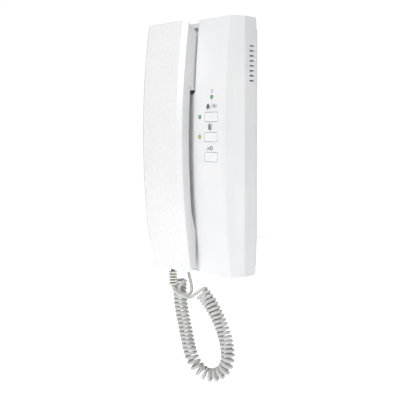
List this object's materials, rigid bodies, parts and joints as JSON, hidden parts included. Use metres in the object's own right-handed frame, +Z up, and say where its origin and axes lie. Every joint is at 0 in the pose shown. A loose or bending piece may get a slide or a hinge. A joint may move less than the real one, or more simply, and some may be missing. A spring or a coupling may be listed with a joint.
{
  "type": "audio intercom handset",
  "caption": "Wall mounted audio intercom: a tall bowed housing with push buttons and lamps, and a corded handset that hangs with its ear end in a deep recess.",
  "frame": {"origin": "centre of the two wall screw holes on the rear face of the wall plate, at mid height of the housing", "axes": "+Z up along the housing's height, +Y into the wall along the wall screws, X to the right of someone who faces it"},
  "size_m": [0.096, 0.0531, 0.325],
  "materials": {
    "housing_shell": "fine moulded texture",
    "housing_back": "plain moulded",
    "wall_plate": "plain moulded",
    "circuit_board": "solder mask",
    "switch_bodies": "moulded",
    "buttons": "moulded",
    "switch_plungers": "moulded",
    "lamp_green": "domed lens",
    "lamp_yellow": "domed lens",
    "lamp_unlit": "domed lens",
    "lamp_spacers": "moulded",
    "speaker": "paper cone in a steel basket",
    "hook_plunger": "moulded",
    "terminal_block": "moulded",
    "screws": "zinc plated",
    "chips": "moulded",
    "capacitors": "sleeved cans",
    "grommet": "soft moulded",
    "cord": "satin sleeve",
    "handset_shell": "smooth moulded",
    "handset_back": "smooth moulded",
    "capsules": "steel and paper",
    "capsules_metal": "drawn can",
    "weight": "plain steel bar",
    "strain_relief": "soft moulded ribs"
  },
  "bodies": {
    "base": {"front_cover": "housing_shell", "rear_cover": "housing_back", "wall_plate": "wall_plate", "circuit_board": "circuit_board", "button_switches": "switch_bodies", "lamp_top": "lamp_green", "lamp_left": "lamp_green", "lamp_lower": "lamp_yellow", "lamp_idle": "lamp_unlit", "lamp_spacers": "lamp_spacers", "call_speaker": "speaker", "hook_switch": "switch_bodies", "terminal_block": "terminal_block", "terminal_screws": "screws", "speech_chip": "chips", "capacitors": "capacitors", "cord_grommet": "grommet", "cover_screws": "screws", "board_screws": "screws", "curly_cord": "cord", "cord_tail_handset": "cord", "cord_tail_base": "cord"},
    "handset": {"handset_front_shell": "handset_shell", "handset_rear_shell": "handset_back", "handset_screws": "screws", "earpiece_capsule": "capsules", "microphone_capsule": "capsules_metal", "microphone_boot": "grommet", "handset_weight": "weight", "strain_relief": "strain_relief"},
    "hook": {"hook_plunger": "hook_plunger"},
    "push_button_1": {"button_1": "buttons", "switch_plunger_1": "switch_plungers"},
    "push_button_2": {"button_2": "buttons", "switch_plunger_2": "switch_plungers"},
    "push_button_3": {"button_3": "buttons", "switch_plunger_3": "switch_plungers"}
  },
  "joints": [
    {"name": "handset_lift", "type": "slide", "parent": "base", "child": "handset", "axis": [0, -0.8, 0.6], "range_m": [0, 0.06]},
    {"name": "hook_rise", "type": "slide", "parent": "base", "child": "hook", "axis": [0, 0, 1], "range_m": [0, 0.003]},
    {"name": "button_1_press", "type": "slide", "parent": "base", "child": "push_button_1", "axis": [0, 1, 0], "range_m": [0, 0.0008], "stiffness_N_per_m": 400},
    {"name": "button_2_press", "type": "slide", "parent": "base", "child": "push_button_2", "axis": [0, 1, 0], "range_m": [0, 0.0008], "stiffness_N_per_m": 400},
    {"name": "button_3_press", "type": "slide", "parent": "base", "child": "push_button_3", "axis": [0, 1, 0], "range_m": [0, 0.0008], "stiffness_N_per_m": 400}
  ],
  "couplings": [
    {"joint": "hook_rise", "follows": "handset_lift", "ratio": 0.05}
  ]
}
